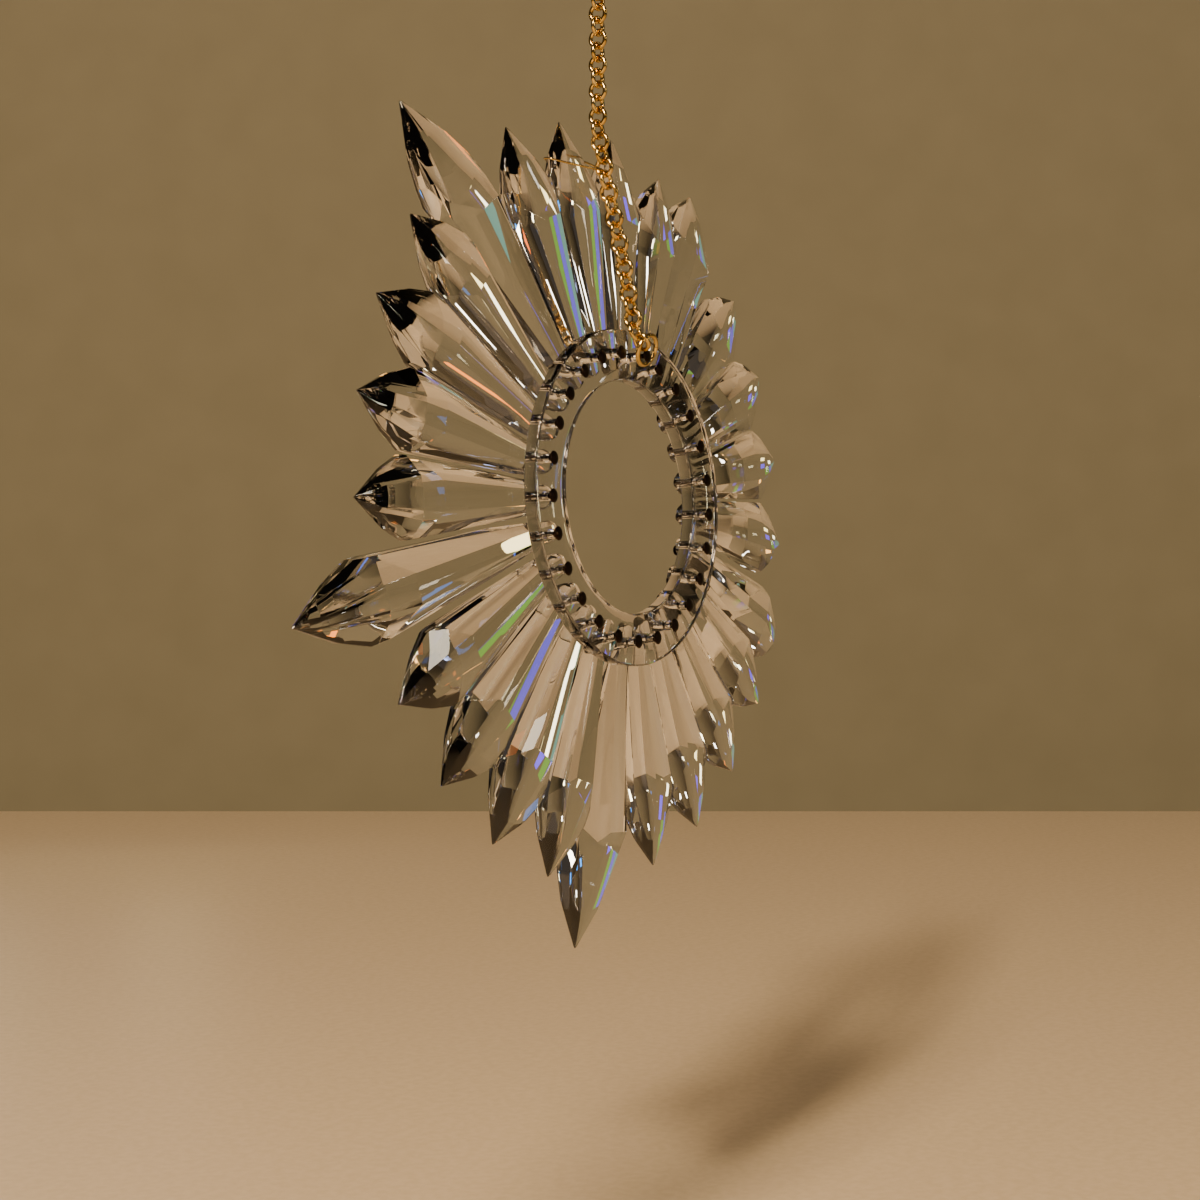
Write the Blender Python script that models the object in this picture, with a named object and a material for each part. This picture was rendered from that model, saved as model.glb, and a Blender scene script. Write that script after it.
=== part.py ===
# Crystal suncatcher: a sunburst of clear cut prisms, pinned behind a flat clear ring and hung on a gold chain.
# Metres, +Z up. The sunburst faces -Y. The origin is where the hanging ring bears on its hook.

import bmesh
import bpy
from math import cos, pi, radians, sin
from mathutils import Matrix, Vector

MM = 0.001
GAP = 0.3 * MM

# The sunburst: its pins stand on one circle, every fifth prism is a long one, and it leans back
PRISM_COUNT = 25
LONG_EVERY = 5
PIN_CIRCLE_RADIUS = 22.0 * MM
FIRST_PRISM_TURN = radians(-17.6)
LEAN = radians(4.2)

# The clear ring
RING_INNER_RADIUS = 17.8 * MM
RING_OUTER_RADIUS = 25.7 * MM
RING_THICKNESS = 2.2 * MM
RING_STEPS = 50

# Every prism's drilled tongue
TONGUE_RADIUS = 2.55 * MM
TONGUE_THICKNESS = 2.0 * MM
TONGUE_CUTS = 7

# A short prism: from its hole to its tip, across its shoulder, and through its ridge
SHORT_LENGTH = 36.4 * MM
SHORT_WIDTH = 11.8 * MM
SHORT_THICKNESS = 6.4 * MM
SHORT_SPLAY = radians(5.5)

# A long prism
LONG_LENGTH = 46.9 * MM
LONG_WIDTH = 12.2 * MM
LONG_THICKNESS = 10.0 * MM
LONG_SPLAY = radians(10.8)

# The cut of a prism: where its facets meet, as shares of its length, width and thickness
FLANK_AT = 0.64
FLANK_WIDTH = 0.92
SHOULDER_AT = 0.75
POINT_AT = 0.86
POINT_WIDTH = 0.66
RIDGE_AT = 0.60
TIP_FACET_AT = 0.87
TIP_FACET_THICKNESS = 0.42
TABLE_SHARE = 0.42
GIRDLE_SHARE = 0.30
TIP_OVERRUN = 0.35 * MM

# The pins, and the holes drilled for them
SHAFT_RADIUS = 0.42 * MM
HEAD_RADIUS = 1.05 * MM
HEAD_HEIGHT = 0.4 * MM
BACK_HEAD_RADIUS = 0.8 * MM
HOLE_RADIUS = SHAFT_RADIUS + GAP
PIN_SIDES = 8

# The chain of round links starts at one pin. Its way up is in the sunburst's frame, then straight up:
# each place that it passes is given as shares of how far the short prisms reach from the middle
CHAINED_PRISM = 2
LINK_COUNT = 28
LINK_RADIUS = 1.3 * MM
LINK_WIRE_RADIUS = 0.35 * MM
LINK_BITE = 0.08 * MM
LINK_PITCH = 2 * (LINK_RADIUS - LINK_WIRE_RADIUS) + LINK_BITE
SHORT_REACH = PIN_CIRCLE_RADIUS + SHORT_LENGTH
CHAIN_PASSES = [(0.0325, -0.0068, 0.529), (0.03, 0.0077, 0.654), (0.0034, 0.024, 0.846), (0.0, 0.0394, 0.99)]

# The jump rings at the chain's ends, and the ring that the suncatcher hangs by; each radius is to mid-wire
JUMP_RING_RADIUS = 2.35 * MM
JUMP_RING_WIRE_RADIUS = 0.37 * MM
HANGING_RING_RADIUS = 4.45 * MM
HANGING_RING_WIRE_RADIUS = 0.55 * MM

# The lower jump ring leans forward off the clear ring, and the chain is on it to the left of its top
LOWER_RING_SLACK = 0.5 * MM
LOWER_RING_TILT = radians(22.0)
LOWER_RING_LINK_TURN = radians(60.0)

# The keeper wire goes round one prism, just past its shoulder, and through one link of the chain,
# which is this much nearer the middle
KEPT_PRISM = 1
KEEPER_AT = 0.84
KEEPER_DROP = 2.3 * MM
KEEPER_WIRE_RADIUS = 0.16 * MM


def clear_scene():
    for item in list(bpy.data.objects):
        bpy.data.objects.remove(item, do_unlink=True)


def new_material(name, colour, roughness, metallic=0.0, transmission=0.0, ior=1.5):
    made = bpy.data.materials.new(name)
    made.use_nodes = True
    shader = made.node_tree.nodes["Principled BSDF"]
    shader.inputs["Base Color"].default_value = (*colour, 1.0)
    shader.inputs["Roughness"].default_value = roughness
    shader.inputs["Metallic"].default_value = metallic
    shader.inputs["Transmission Weight"].default_value = transmission
    shader.inputs["IOR"].default_value = ior
    return made


def add_object(name, mesh, parent, place=None):
    item = bpy.data.objects.new(name, mesh)
    bpy.context.scene.collection.objects.link(item)
    item.parent = parent
    if place is not None:
        item.matrix_local = place
    return item


def mesh_from(bm, name, smooth_up_to=None):
    bmesh.ops.recalc_face_normals(bm, faces=bm.faces)
    mesh = bpy.data.meshes.new(name)
    bm.to_mesh(mesh)
    bm.free()
    if smooth_up_to is not None:
        mesh.shade_smooth()
        mesh.set_sharp_from_angle(angle=smooth_up_to)
    return mesh


def joined(first_mesh, second_mesh, operation, name):
    """The first closed mesh with the second one added to it or taken out of it."""
    first = bpy.data.objects.new(name + "_first", first_mesh)
    second = bpy.data.objects.new(name + "_second", second_mesh)
    for item in (first, second):
        bpy.context.scene.collection.objects.link(item)
    join = first.modifiers.new("join", "BOOLEAN")
    join.operation = operation
    join.solver = "EXACT"
    join.object = second
    mesh = bpy.data.meshes.new_from_object(first.evaluated_get(bpy.context.evaluated_depsgraph_get()))
    for item in (first, second):
        bpy.data.objects.remove(item, do_unlink=True)
    mesh.name = name
    return mesh


def add_rod(bm, centre, axis, radius, length, sides):
    """A closed round rod with its middle at a point."""
    turn = Vector((0, 0, 1)).rotation_difference(axis).to_matrix().to_4x4()
    bmesh.ops.create_cone(
        bm, cap_ends=True, segments=sides, radius1=radius, radius2=radius, depth=length,
        matrix=Matrix.Translation(centre) @ turn)


def add_wire_loop(bm, points, axis, wire_radius, sides):
    """A closed loop of wire along points that lie round an axis. Its flats touch the round wire."""
    corner = wire_radius / cos(pi / sides)
    sections = []
    for step, point in enumerate(points):
        ahead = (points[(step + 1) % len(points)] - points[step - 1]).normalized()
        outwards = ahead.cross(axis).normalized()
        upwards = outwards.cross(ahead)
        turns = [2 * pi * (side + 0.5) / sides for side in range(sides)]
        spokes = [corner * (outwards * cos(turn) + upwards * sin(turn)) for turn in turns]
        sections.append([bm.verts.new(point + spoke) for spoke in spokes])
    for step, section in enumerate(sections):
        following = sections[(step + 1) % len(sections)]
        for side in range(sides):
            beside = (side + 1) % sides
            bm.faces.new((section[side], section[beside], following[beside], following[side]))


def add_wire_ring(bm, centre, normal, top, radius, wire_radius, steps, sides):
    """A round ring of wire with one of its corners at its top."""
    across = normal.cross(top)
    turns = [2 * pi * step / steps for step in range(steps)]
    points = [centre + radius * (top * cos(turn) + across * sin(turn)) for turn in turns]
    add_wire_loop(bm, points, normal, wire_radius, sides)


# A prism in its own frame: Z outwards along it from its hole, X across it, and Y through it to the back

def between(stations, place):
    """The value at one place of a line through (place, value) stations."""
    for (start, low), (end, high) in zip(stations, stations[1:]):
        if place <= end:
            return low + (high - low) * (place - start) / (end - start)
    return stations[-1][1]


class Cut:
    """The sizes of one kind of prism."""

    def __init__(self, length, width, thickness, splay):
        self.length = length
        self.splay = splay
        self.widest = width / 2
        self.thickest = thickness / 2
        self.taper = (self.thickest - TONGUE_THICKNESS / 2) / (RIDGE_AT * length)
        self.outline = [
            (0.0, TONGUE_RADIUS),
            (FLANK_AT * length, FLANK_WIDTH * self.widest),
            (SHOULDER_AT * length, self.widest),
            (POINT_AT * length, POINT_WIDTH * self.widest),
            (length, 0.0),
        ]
        self.profile = [
            (0.0, TONGUE_THICKNESS / 2),
            (RIDGE_AT * length, self.thickest),
            (TIP_FACET_AT * length, TIP_FACET_THICKNESS * self.thickest),
            (length + TIP_OVERRUN, 0.0),
        ]

    def table_edge(self, along, across, through):
        """A point where a table facet meets a bevel."""
        half_table = TABLE_SHARE * between(self.outline, along)
        return Vector((across * half_table, through * between(self.profile, along), along))

    def girdle(self, along, across, through):
        """A point where a bevel meets a side."""
        rise = GIRDLE_SHARE * between(self.profile, along)
        return Vector((across * between(self.outline, along), through * rise, along))


SHORT = Cut(SHORT_LENGTH, SHORT_WIDTH, SHORT_THICKNESS, SHORT_SPLAY)
LONG = Cut(LONG_LENGTH, LONG_WIDTH, LONG_THICKNESS, LONG_SPLAY)


def grind(bm, point, normal):
    """Grind one flat facet: all that is beyond it goes, and one face closes the cut."""
    everything = list(bm.verts) + list(bm.edges) + list(bm.faces)
    done = bmesh.ops.bisect_plane(
        bm, geom=everything, dist=0.002 * MM, plane_co=point, plane_no=normal, clear_outer=True)
    rim = [item for item in done["geom_cut"] if isinstance(item, bmesh.types.BMEdge) and item.is_boundary]
    if rim:
        bmesh.ops.contextual_create(bm, geom=rim)


def grind_between(bm, one, two, three, inside):
    """Grind the facet through three points, on the side away from a point inside the prism."""
    normal = (two - one).cross(three - one).normalized()
    if normal.dot(one - inside) < 0:
        normal.negate()
    grind(bm, one, normal)


def grind_sides(bm, kind):
    for across in (1, -1):
        for (start, low), (end, high) in zip(kind.outline, kind.outline[1:]):
            outwards = Vector((across * (end - start), 0, low - high)).normalized()
            grind(bm, Vector((across * low, 0, start)), outwards)
    for step in range(TONGUE_CUTS):
        turn = pi * (step + 1) / (TONGUE_CUTS + 1)
        outwards = Vector((cos(turn), 0, -sin(turn)))
        grind(bm, outwards * TONGUE_RADIUS, outwards)


def grind_tables(bm, kind):
    for through in (1, -1):
        for (start, low), (end, high) in zip(kind.profile, kind.profile[1:]):
            outwards = Vector((0, through * (end - start), low - high)).normalized()
            grind(bm, Vector((0, through * low, start)), outwards)


def grind_bevels(bm, kind):
    """The long, shoulder and tip bevels between each table and each side."""
    ridge = RIDGE_AT * kind.length
    shoulder = SHOULDER_AT * kind.length
    tip_facet = TIP_FACET_AT * kind.length
    inside = Vector((0, 0, ridge))
    tip = Vector((0, 0, kind.length + TIP_OVERRUN))
    for side in ((1, 1), (1, -1), (-1, 1), (-1, -1)):
        ridge_edge = kind.table_edge(ridge, *side)
        tip_facet_edge = kind.table_edge(tip_facet, *side)
        grind_between(bm, kind.table_edge(0, *side), ridge_edge, kind.girdle(ridge, *side), inside)
        grind_between(bm, ridge_edge, tip_facet_edge, kind.girdle(shoulder, *side), inside)
        grind_between(bm, tip_facet_edge, kind.girdle(tip_facet, *side), tip, inside)


def prism_mesh(kind, name):
    """A prism, ground facet by facet out of a block, and drilled square to the ring."""
    block = bmesh.new()
    bmesh.ops.create_cube(block, size=1.0)
    length = kind.length + 4 * TONGUE_RADIUS
    bmesh.ops.scale(block, verts=block.verts, vec=(3 * kind.widest, 3 * kind.thickest, length))
    bmesh.ops.translate(block, verts=block.verts, vec=(0, 0, kind.length / 2))
    grind_sides(block, kind)
    grind_tables(block, kind)
    grind_bevels(block, kind)
    drill = bmesh.new()
    pin_axis = Vector((0, cos(kind.splay), sin(kind.splay)))
    add_rod(drill, Vector((0, 0, 0)), pin_axis, HOLE_RADIUS, 3 * TONGUE_THICKNESS, PIN_SIDES)
    return joined(mesh_from(block, name), mesh_from(drill, name), "DIFFERENCE", name)


# The sunburst in its own frame: Y = 0 is the ring's front face, and the prisms' tongues lie behind the ring

def kind_of(index):
    return LONG if index % LONG_EVERY == LONG_EVERY - 1 else SHORT


def turn_of(index):
    """Clockwise from straight up, seen from the front."""
    return FIRST_PRISM_TURN + 2 * pi * index / PRISM_COUNT


def pin_point(index, depth):
    turn = turn_of(index)
    return Vector((PIN_CIRCLE_RADIUS * sin(turn), depth, PIN_CIRCLE_RADIUS * cos(turn)))


def reach(kind, along, forward):
    """How far a tongue reaches forward of its hole's middle, or back, at a place along the prism."""
    half = TONGUE_THICKNESS / 2 + kind.taper * along
    return half * cos(kind.splay) - forward * along * sin(kind.splay)


RING_RIM = RING_OUTER_RADIUS - PIN_CIRCLE_RADIUS
FRONT_REACH = max(reach(kind, along, 1) for kind in (SHORT, LONG) for along in (-TONGUE_RADIUS, RING_RIM))
BACK_REACH = max(reach(kind, BACK_HEAD_RADIUS, -1) for kind in (SHORT, LONG))
TONGUE_DEPTH = RING_THICKNESS + GAP + FRONT_REACH
BACK_HEAD_DEPTH = TONGUE_DEPTH + BACK_REACH + GAP


def prism_place(index):
    turned = Matrix.Rotation(turn_of(index), 4, "Y")
    splayed = Matrix.Rotation(-kind_of(index).splay, 4, "X")
    return Matrix.Translation(pin_point(index, TONGUE_DEPTH)) @ turned @ splayed


def add_turned(bm, outline, steps):
    """Turn (radius, depth) points about the Y axis into one closed skin."""
    corners = [bm.verts.new((radius, depth, 0)) for radius, depth in outline]
    edges = [bm.edges.new(pair) for pair in zip(corners, corners[1:])]
    bmesh.ops.spin(
        bm, geom=corners + edges, cent=(0, 0, 0), axis=(0, 1, 0), dvec=(0, 0, 0),
        angle=2 * pi, steps=steps, use_merge=True)
    bmesh.ops.remove_doubles(bm, verts=bm.verts, dist=0.002 * MM)


def pin_mesh(name, head_depth):
    """A pin: a head with a coned back, a shaft, and a small head behind. head_depth is its coned back's."""
    front = head_depth - HEAD_HEIGHT
    back = BACK_HEAD_DEPTH
    bm = bmesh.new()
    add_turned(bm, [
        (0, front),
        (0.6 * HEAD_RADIUS, front),
        (HEAD_RADIUS, front + 0.5 * HEAD_HEIGHT),
        (SHAFT_RADIUS, head_depth),
        (SHAFT_RADIUS, back),
        (BACK_HEAD_RADIUS, back + 0.3 * HEAD_HEIGHT),
        (0.7 * BACK_HEAD_RADIUS, back + HEAD_HEIGHT),
        (0, back + HEAD_HEIGHT),
    ], PIN_SIDES)
    return mesh_from(bm, name, radians(40))


def ring_mesh():
    """The flat clear ring, drilled for every pin."""
    blank = bmesh.new()
    add_turned(blank, [
        (RING_INNER_RADIUS, 0),
        (RING_OUTER_RADIUS, 0),
        (RING_OUTER_RADIUS, RING_THICKNESS),
        (RING_INNER_RADIUS, RING_THICKNESS),
        (RING_INNER_RADIUS, 0),
    ], RING_STEPS)
    drills = bmesh.new()
    for index in range(PRISM_COUNT):
        middle = pin_point(index, RING_THICKNESS / 2)
        add_rod(drills, middle, Vector((0, 1, 0)), HOLE_RADIUS, 2 * RING_THICKNESS, PIN_SIDES)
    mesh = joined(mesh_from(blank, "ring"), mesh_from(drills, "ring"), "DIFFERENCE", "clear_ring")
    mesh.shade_smooth()
    mesh.set_sharp_from_angle(angle=radians(30))
    return mesh


# What hangs the sunburst is in an upright frame whose origin is the sunburst's middle

LEANING = Matrix.Rotation(-LEAN, 4, "X")
X_AXIS = Vector((1, 0, 0))
Y_AXIS = Vector((0, 1, 0))
Z_AXIS = Vector((0, 0, 1))
# How far a jump ring's wire lies from the middle of the link it goes through
THREADED = LINK_RADIUS - LINK_WIRE_RADIUS - JUMP_RING_WIRE_RADIUS - GAP


class LowerRing:
    """The jump ring round the chained pin's shaft, just in front of the clear ring."""

    drop = SHAFT_RADIUS + LOWER_RING_SLACK + JUMP_RING_WIRE_RADIUS
    bottom = LEANING @ (pin_point(CHAINED_PRISM, -GAP - JUMP_RING_WIRE_RADIUS) - drop * Z_AXIS)
    up = LEANING @ Vector((0, -sin(LOWER_RING_TILT), cos(LOWER_RING_TILT)))
    normal = LEANING @ Vector((0, cos(LOWER_RING_TILT), sin(LOWER_RING_TILT)))
    centre = bottom + JUMP_RING_RADIUS * up
    in_link = centre + JUMP_RING_RADIUS * (cos(LOWER_RING_LINK_TURN) * up - sin(LOWER_RING_LINK_TURN) * X_AXIS)
    along_wire = cos(LOWER_RING_LINK_TURN) * X_AXIS + sin(LOWER_RING_LINK_TURN) * up


def without(vector, axis):
    """A direction with its share along another one taken out."""
    return (vector - vector.dot(axis) * axis).normalized()


# The first link is turned half way from the next ones to face along the jump ring's wire
FIRST_LINK_NORMAL = (LowerRing.along_wire + X_AXIS).normalized()


def chain_centres():
    """Each link's middle in turn, towards one pass after another and then straight up."""
    passes = [LEANING @ (Vector(shares) * SHORT_REACH) for shares in CHAIN_PASSES]
    first = LowerRing.in_link
    centres = [first, first + LINK_PITCH * without(passes[0] - first, FIRST_LINK_NORMAL)]
    while len(centres) < LINK_COUNT:
        while passes and (passes[0] - centres[-1]).length < LINK_PITCH:
            passes.pop(0)
        heading = (passes[0] - centres[-1]).normalized() if passes else Z_AXIS
        centres.append(centres[-1] + LINK_PITCH * heading)
    return centres


CENTRES = chain_centres()
UPPER_RING_CENTRE = CENTRES[-1] + (THREADED + JUMP_RING_RADIUS) * Z_AXIS
HANGING_RING_FOOT = JUMP_RING_RADIUS - JUMP_RING_WIRE_RADIUS - GAP - HANGING_RING_WIRE_RADIUS
HANGING_RING_CENTRE = UPPER_RING_CENTRE + (HANGING_RING_FOOT + HANGING_RING_RADIUS) * Z_AXIS
HANG_POINT = HANGING_RING_CENTRE + (HANGING_RING_RADIUS - HANGING_RING_WIRE_RADIUS) * Z_AXIS


def chain_mesh():
    """Round links, each at right angles to the next, fused where their wires bear on one another."""
    turned_links = (bmesh.new(), bmesh.new())
    for index, centre in enumerate(CENTRES):
        before = CENTRES[max(index - 1, 0)]
        after = CENTRES[min(index + 1, LINK_COUNT - 1)]
        along = (after - before).normalized()
        normal = without(X_AXIS if index else FIRST_LINK_NORMAL, along)
        if index % 2:
            normal = along.cross(normal)
        add_wire_ring(turned_links[index % 2], centre, normal, along, LINK_RADIUS, LINK_WIRE_RADIUS, 8, 4)
    one, other = (mesh_from(bm, "links") for bm in turned_links)
    mesh = joined(one, other, "UNION", "chain")
    mesh.shade_smooth()
    mesh.set_sharp_from_angle(angle=radians(50))
    return mesh


def wire_ring_mesh(name, centre, normal, top, radius, wire_radius):
    bm = bmesh.new()
    add_wire_ring(bm, centre, normal, top, radius, wire_radius, 20, 6)
    return mesh_from(bm, name, radians(65))


def hull(points):
    """The corners of the smallest outline round flat points, in turn."""
    def chain(ordered):
        corners = []
        for point in ordered:
            while len(corners) > 1 and (corners[-1] - corners[-2]).cross(point - corners[-2]) <= 0:
                corners.pop()
            corners.append(point)
        return corners[:-1]
    ordered = sorted(points, key=lambda point: (point.x, point.y))
    return chain(ordered) + chain(ordered[::-1])


def slant(depth, along, link_wire):
    """How far out along the prism the loop is at a depth."""
    return along + (link_wire.z - along) * max(depth / link_wire.y, 0.0)


def on_slant(edge, across, through, along, link_wire):
    """Where one of the prism's long edges goes through the slanted loop, found by coming closer five times."""
    point = edge(along, across, through)
    for _ in range(5):
        point = edge(slant(point.y, along, link_wire), across, through)
    return point


def keeper_points():
    """The taut loop round the kept prism and through a link: its corners, in the prism's frame.

    Behind the prism it lies level, and from the prism's middle forwards it slants to the link's wire."""
    kind = kind_of(KEPT_PRISM)
    place = LEANING @ prism_place(KEPT_PRISM)
    along = KEEPER_AT * kind.length
    level = along - KEEPER_DROP
    link = min(CENTRES[::2], key=lambda centre: abs((place.inverted() @ centre).z - level))
    towards_prism = LEANING @ Y_AXIS
    link_wire = place.inverted() @ (link + LINK_RADIUS * towards_prism)
    clear = KEEPER_WIRE_RADIUS + GAP
    bend = LINK_WIRE_RADIUS + clear
    flat = []
    for step in range(12):
        turn = 2 * pi * step / 12
        flat.append(Vector((link_wire.x + 1.1 * bend * cos(turn), link_wire.y + 1.1 * bend * sin(turn))))
    for across in (1, -1):
        for through in (1, -1):
            girdle = on_slant(kind.girdle, across, through, along, link_wire)
            table_edge = on_slant(kind.table_edge, across, through, along, link_wire)
            flat.append(Vector((girdle.x + across * clear, girdle.y)))
            flat.append(Vector((girdle.x + 0.8 * across * clear, girdle.y + 0.6 * through * clear)))
            flat.append(Vector((table_edge.x + 0.5 * across * clear, table_edge.y + through * clear)))
    corners = [Vector((point.x, point.y, slant(point.y, along, link_wire))) for point in hull(flat)]
    return corners, place


def keeper_mesh():
    corners, place = keeper_points()
    bm = bmesh.new()
    add_wire_loop(bm, corners, Z_AXIS, KEEPER_WIRE_RADIUS, 5)
    bmesh.ops.transform(bm, matrix=place, verts=bm.verts)
    return mesh_from(bm, "keeper_wire", radians(65))


def main():
    clear_scene()
    glass = new_material("cut_crystal", (1.0, 1.0, 1.0), 0.0, transmission=1.0, ior=1.56)
    acrylic = new_material("clear_acrylic", (0.98, 0.99, 1.0), 0.02, transmission=1.0, ior=1.49)
    bronze = new_material("dark_bronze", (0.05, 0.035, 0.025), 0.4, metallic=1.0)
    gold = new_material("gold_plate", (0.85, 0.58, 0.24), 0.2, metallic=1.0)

    upright = add_object("upright", None, None, Matrix.Translation(-HANG_POINT))
    sunburst = add_object("sunburst", None, upright, LEANING)
    meshes = {SHORT: prism_mesh(SHORT, "short_prism"), LONG: prism_mesh(LONG, "long_prism")}
    pin = pin_mesh("pin", -GAP)
    chained_pin = pin_mesh("chained_pin", -2 * GAP - 2 * JUMP_RING_WIRE_RADIUS)
    ring = ring_mesh()
    chain = chain_mesh()
    keeper = keeper_mesh()
    lower_ring = wire_ring_mesh(
        "lower_jump_ring", LowerRing.centre, LowerRing.normal, LowerRing.up,
        JUMP_RING_RADIUS, JUMP_RING_WIRE_RADIUS)
    # The last link has its hole along Y or X, and the two rings above it turn a quarter each time
    last_normal, ring_normal = (X_AXIS, Y_AXIS) if LINK_COUNT % 2 == 0 else (Y_AXIS, X_AXIS)
    upper_ring = wire_ring_mesh(
        "upper_jump_ring", UPPER_RING_CENTRE, last_normal, Z_AXIS, JUMP_RING_RADIUS, JUMP_RING_WIRE_RADIUS)
    hanging_ring = wire_ring_mesh(
        "hanging_ring", HANGING_RING_CENTRE, ring_normal, Z_AXIS, HANGING_RING_RADIUS, HANGING_RING_WIRE_RADIUS)

    finishes = [
        (glass, list(meshes.values())),
        (acrylic, [ring]),
        (bronze, [pin, chained_pin]),
        (gold, [chain, keeper, lower_ring, upper_ring, hanging_ring]),
    ]
    for finish, finished in finishes:
        for mesh in finished:
            mesh.materials.clear()
            mesh.materials.append(finish)

    for index in range(PRISM_COUNT):
        add_object(f"prism_{index + 1:02d}", meshes[kind_of(index)], sunburst, prism_place(index))
        place = Matrix.Translation(pin_point(index, 0))
        add_object(f"pin_{index + 1:02d}", chained_pin if index == CHAINED_PRISM else pin, sunburst, place)
    add_object("clear_ring", ring, sunburst)
    for mesh in (chain, keeper, lower_ring, upper_ring, hanging_ring):
        add_object(mesh.name, mesh, upright)


main()
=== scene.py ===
from math import cos, pi, radians, sin

import bmesh
import bpy
from mathutils import Matrix, Vector


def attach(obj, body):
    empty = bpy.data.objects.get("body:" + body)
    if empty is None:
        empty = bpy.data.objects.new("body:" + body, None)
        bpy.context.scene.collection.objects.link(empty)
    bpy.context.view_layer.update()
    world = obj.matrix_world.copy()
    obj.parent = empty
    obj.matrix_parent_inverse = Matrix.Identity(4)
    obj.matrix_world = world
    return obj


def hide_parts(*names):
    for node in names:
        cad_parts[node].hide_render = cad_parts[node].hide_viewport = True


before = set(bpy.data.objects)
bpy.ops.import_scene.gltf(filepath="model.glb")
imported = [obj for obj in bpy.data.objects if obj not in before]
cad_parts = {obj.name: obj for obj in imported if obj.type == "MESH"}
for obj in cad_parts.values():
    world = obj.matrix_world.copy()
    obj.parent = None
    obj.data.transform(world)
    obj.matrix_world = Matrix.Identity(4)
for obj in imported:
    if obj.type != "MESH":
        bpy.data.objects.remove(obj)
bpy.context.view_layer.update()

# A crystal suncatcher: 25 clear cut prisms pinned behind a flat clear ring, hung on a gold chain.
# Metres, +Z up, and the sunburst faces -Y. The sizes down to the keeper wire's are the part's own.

MM = 0.001
GAP = 0.3 * MM

# The sunburst: its pins stand on one circle, every fifth prism is a long one, and it leans back
PRISM_COUNT = 25
LONG_EVERY = 5
PIN_CIRCLE_RADIUS = 22.0 * MM
FIRST_PRISM_TURN = radians(-17.6)
LEAN = radians(4.2)

# The clear ring, and the tongue that every prism has behind it
RING_INNER_RADIUS = 17.8 * MM
RING_OUTER_RADIUS = 25.7 * MM
RING_THICKNESS = 2.2 * MM
TONGUE_RADIUS = 2.55 * MM
TONGUE_THICKNESS = 2.0 * MM
TONGUE_CUTS = 7

# The cut of a prism: where its facets meet, as shares of its length, width and thickness
FLANK_AT = 0.64
FLANK_WIDTH = 0.92
SHOULDER_AT = 0.75
POINT_AT = 0.86
POINT_WIDTH = 0.66
RIDGE_AT = 0.60
TIP_FACET_AT = 0.87
TIP_FACET_THICKNESS = 0.42
TABLE_SHARE = 0.42
GIRDLE_SHARE = 0.30
TIP_OVERRUN = 0.35 * MM

# The pins and the holes drilled for them
SHAFT_RADIUS = 0.42 * MM
HEAD_RADIUS = 1.05 * MM
HEAD_HEIGHT = 0.4 * MM
BACK_HEAD_RADIUS = 0.8 * MM
HOLE_RADIUS = SHAFT_RADIUS + GAP

# The chain, the jump rings at its ends and the ring that the suncatcher hangs by; radii are to mid-wire
CHAINED_PRISM = 2
LINK_COUNT = 28
LINK_RADIUS = 1.3 * MM
LINK_WIRE_RADIUS = 0.35 * MM
LINK_PITCH = 2 * (LINK_RADIUS - LINK_WIRE_RADIUS) + 0.08 * MM
CHAIN_PASSES = [(0.0325, -0.0068, 0.529), (0.03, 0.0077, 0.654), (0.0034, 0.024, 0.846), (0.0, 0.0394, 0.99)]
JUMP_RING_RADIUS = 2.35 * MM
JUMP_RING_WIRE_RADIUS = 0.37 * MM
HANGING_RING_RADIUS = 4.45 * MM
HANGING_RING_WIRE_RADIUS = 0.55 * MM
LOWER_RING_SLACK = 0.5 * MM
LOWER_RING_TILT = radians(22.0)
LOWER_RING_LINK_TURN = radians(60.0)

# The keeper wire, which goes round one prism and through one link of the chain
KEPT_PRISM = 1
KEEPER_AT = 0.84
KEEPER_DROP = 2.3 * MM
KEEPER_WIRE_RADIUS = 0.16 * MM

# What only shows close up: the polish along the facets' edges, and the saw cut in each jump ring
EDGE_POLISH = 0.05 * MM
RING_EDGE_RADIUS = 0.3 * MM
SAW_CUT = 0.1 * MM

X_AXIS = Vector((1, 0, 0))
Y_AXIS = Vector((0, 1, 0))
Z_AXIS = Vector((0, 0, 1))
LEANING = Matrix.Rotation(-LEAN, 4, "X")


# Materials

def from_hex(text):
    """An sRGB colour such as d9a441, as linear red, green, blue and alpha."""
    shares = [int(text[start:start + 2], 16) / 255 for start in (0, 2, 4)]
    return (*[share / 12.92 if share <= 0.04045 else ((share + 0.055) / 1.055) ** 2.4 for share in shares], 1.0)


def add_node(tree, kind, settings=None, links=None):
    """A node with its settings, and with its inputs set to values or linked from (node, output) pairs."""
    made = tree.nodes.new(kind)
    for name, value in (settings or {}).items():
        setattr(made, name, value)
    for name, value in (links or {}).items():
        if isinstance(value, tuple) and isinstance(value[0], bpy.types.Node):
            tree.links.new(value[0].outputs[value[1]], made.inputs[name])
        else:
            made.inputs[name].default_value = value
    return made


def new_finish(name, **values):
    """A material with plain values on its Principled shader, and its tree and shader to add to."""
    finish = bpy.data.materials.new(name)
    finish.use_nodes = True
    shader = finish.node_tree.nodes["Principled BSDF"]
    for socket, value in values.items():
        shader.inputs[socket.replace("_", " ")].default_value = value
    return finish, finish.node_tree, shader


def set_ramp(ramp, stops):
    """Sets a colour ramp's stops to (place, grey or colour) pairs."""
    elements = ramp.color_ramp.elements
    while len(elements) < len(stops):
        elements.new(0.5)
    for element, (place, value) in zip(elements, stops):
        element.position = place
        element.color = value if isinstance(value, tuple) else (value, value, value, 1.0)


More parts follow.
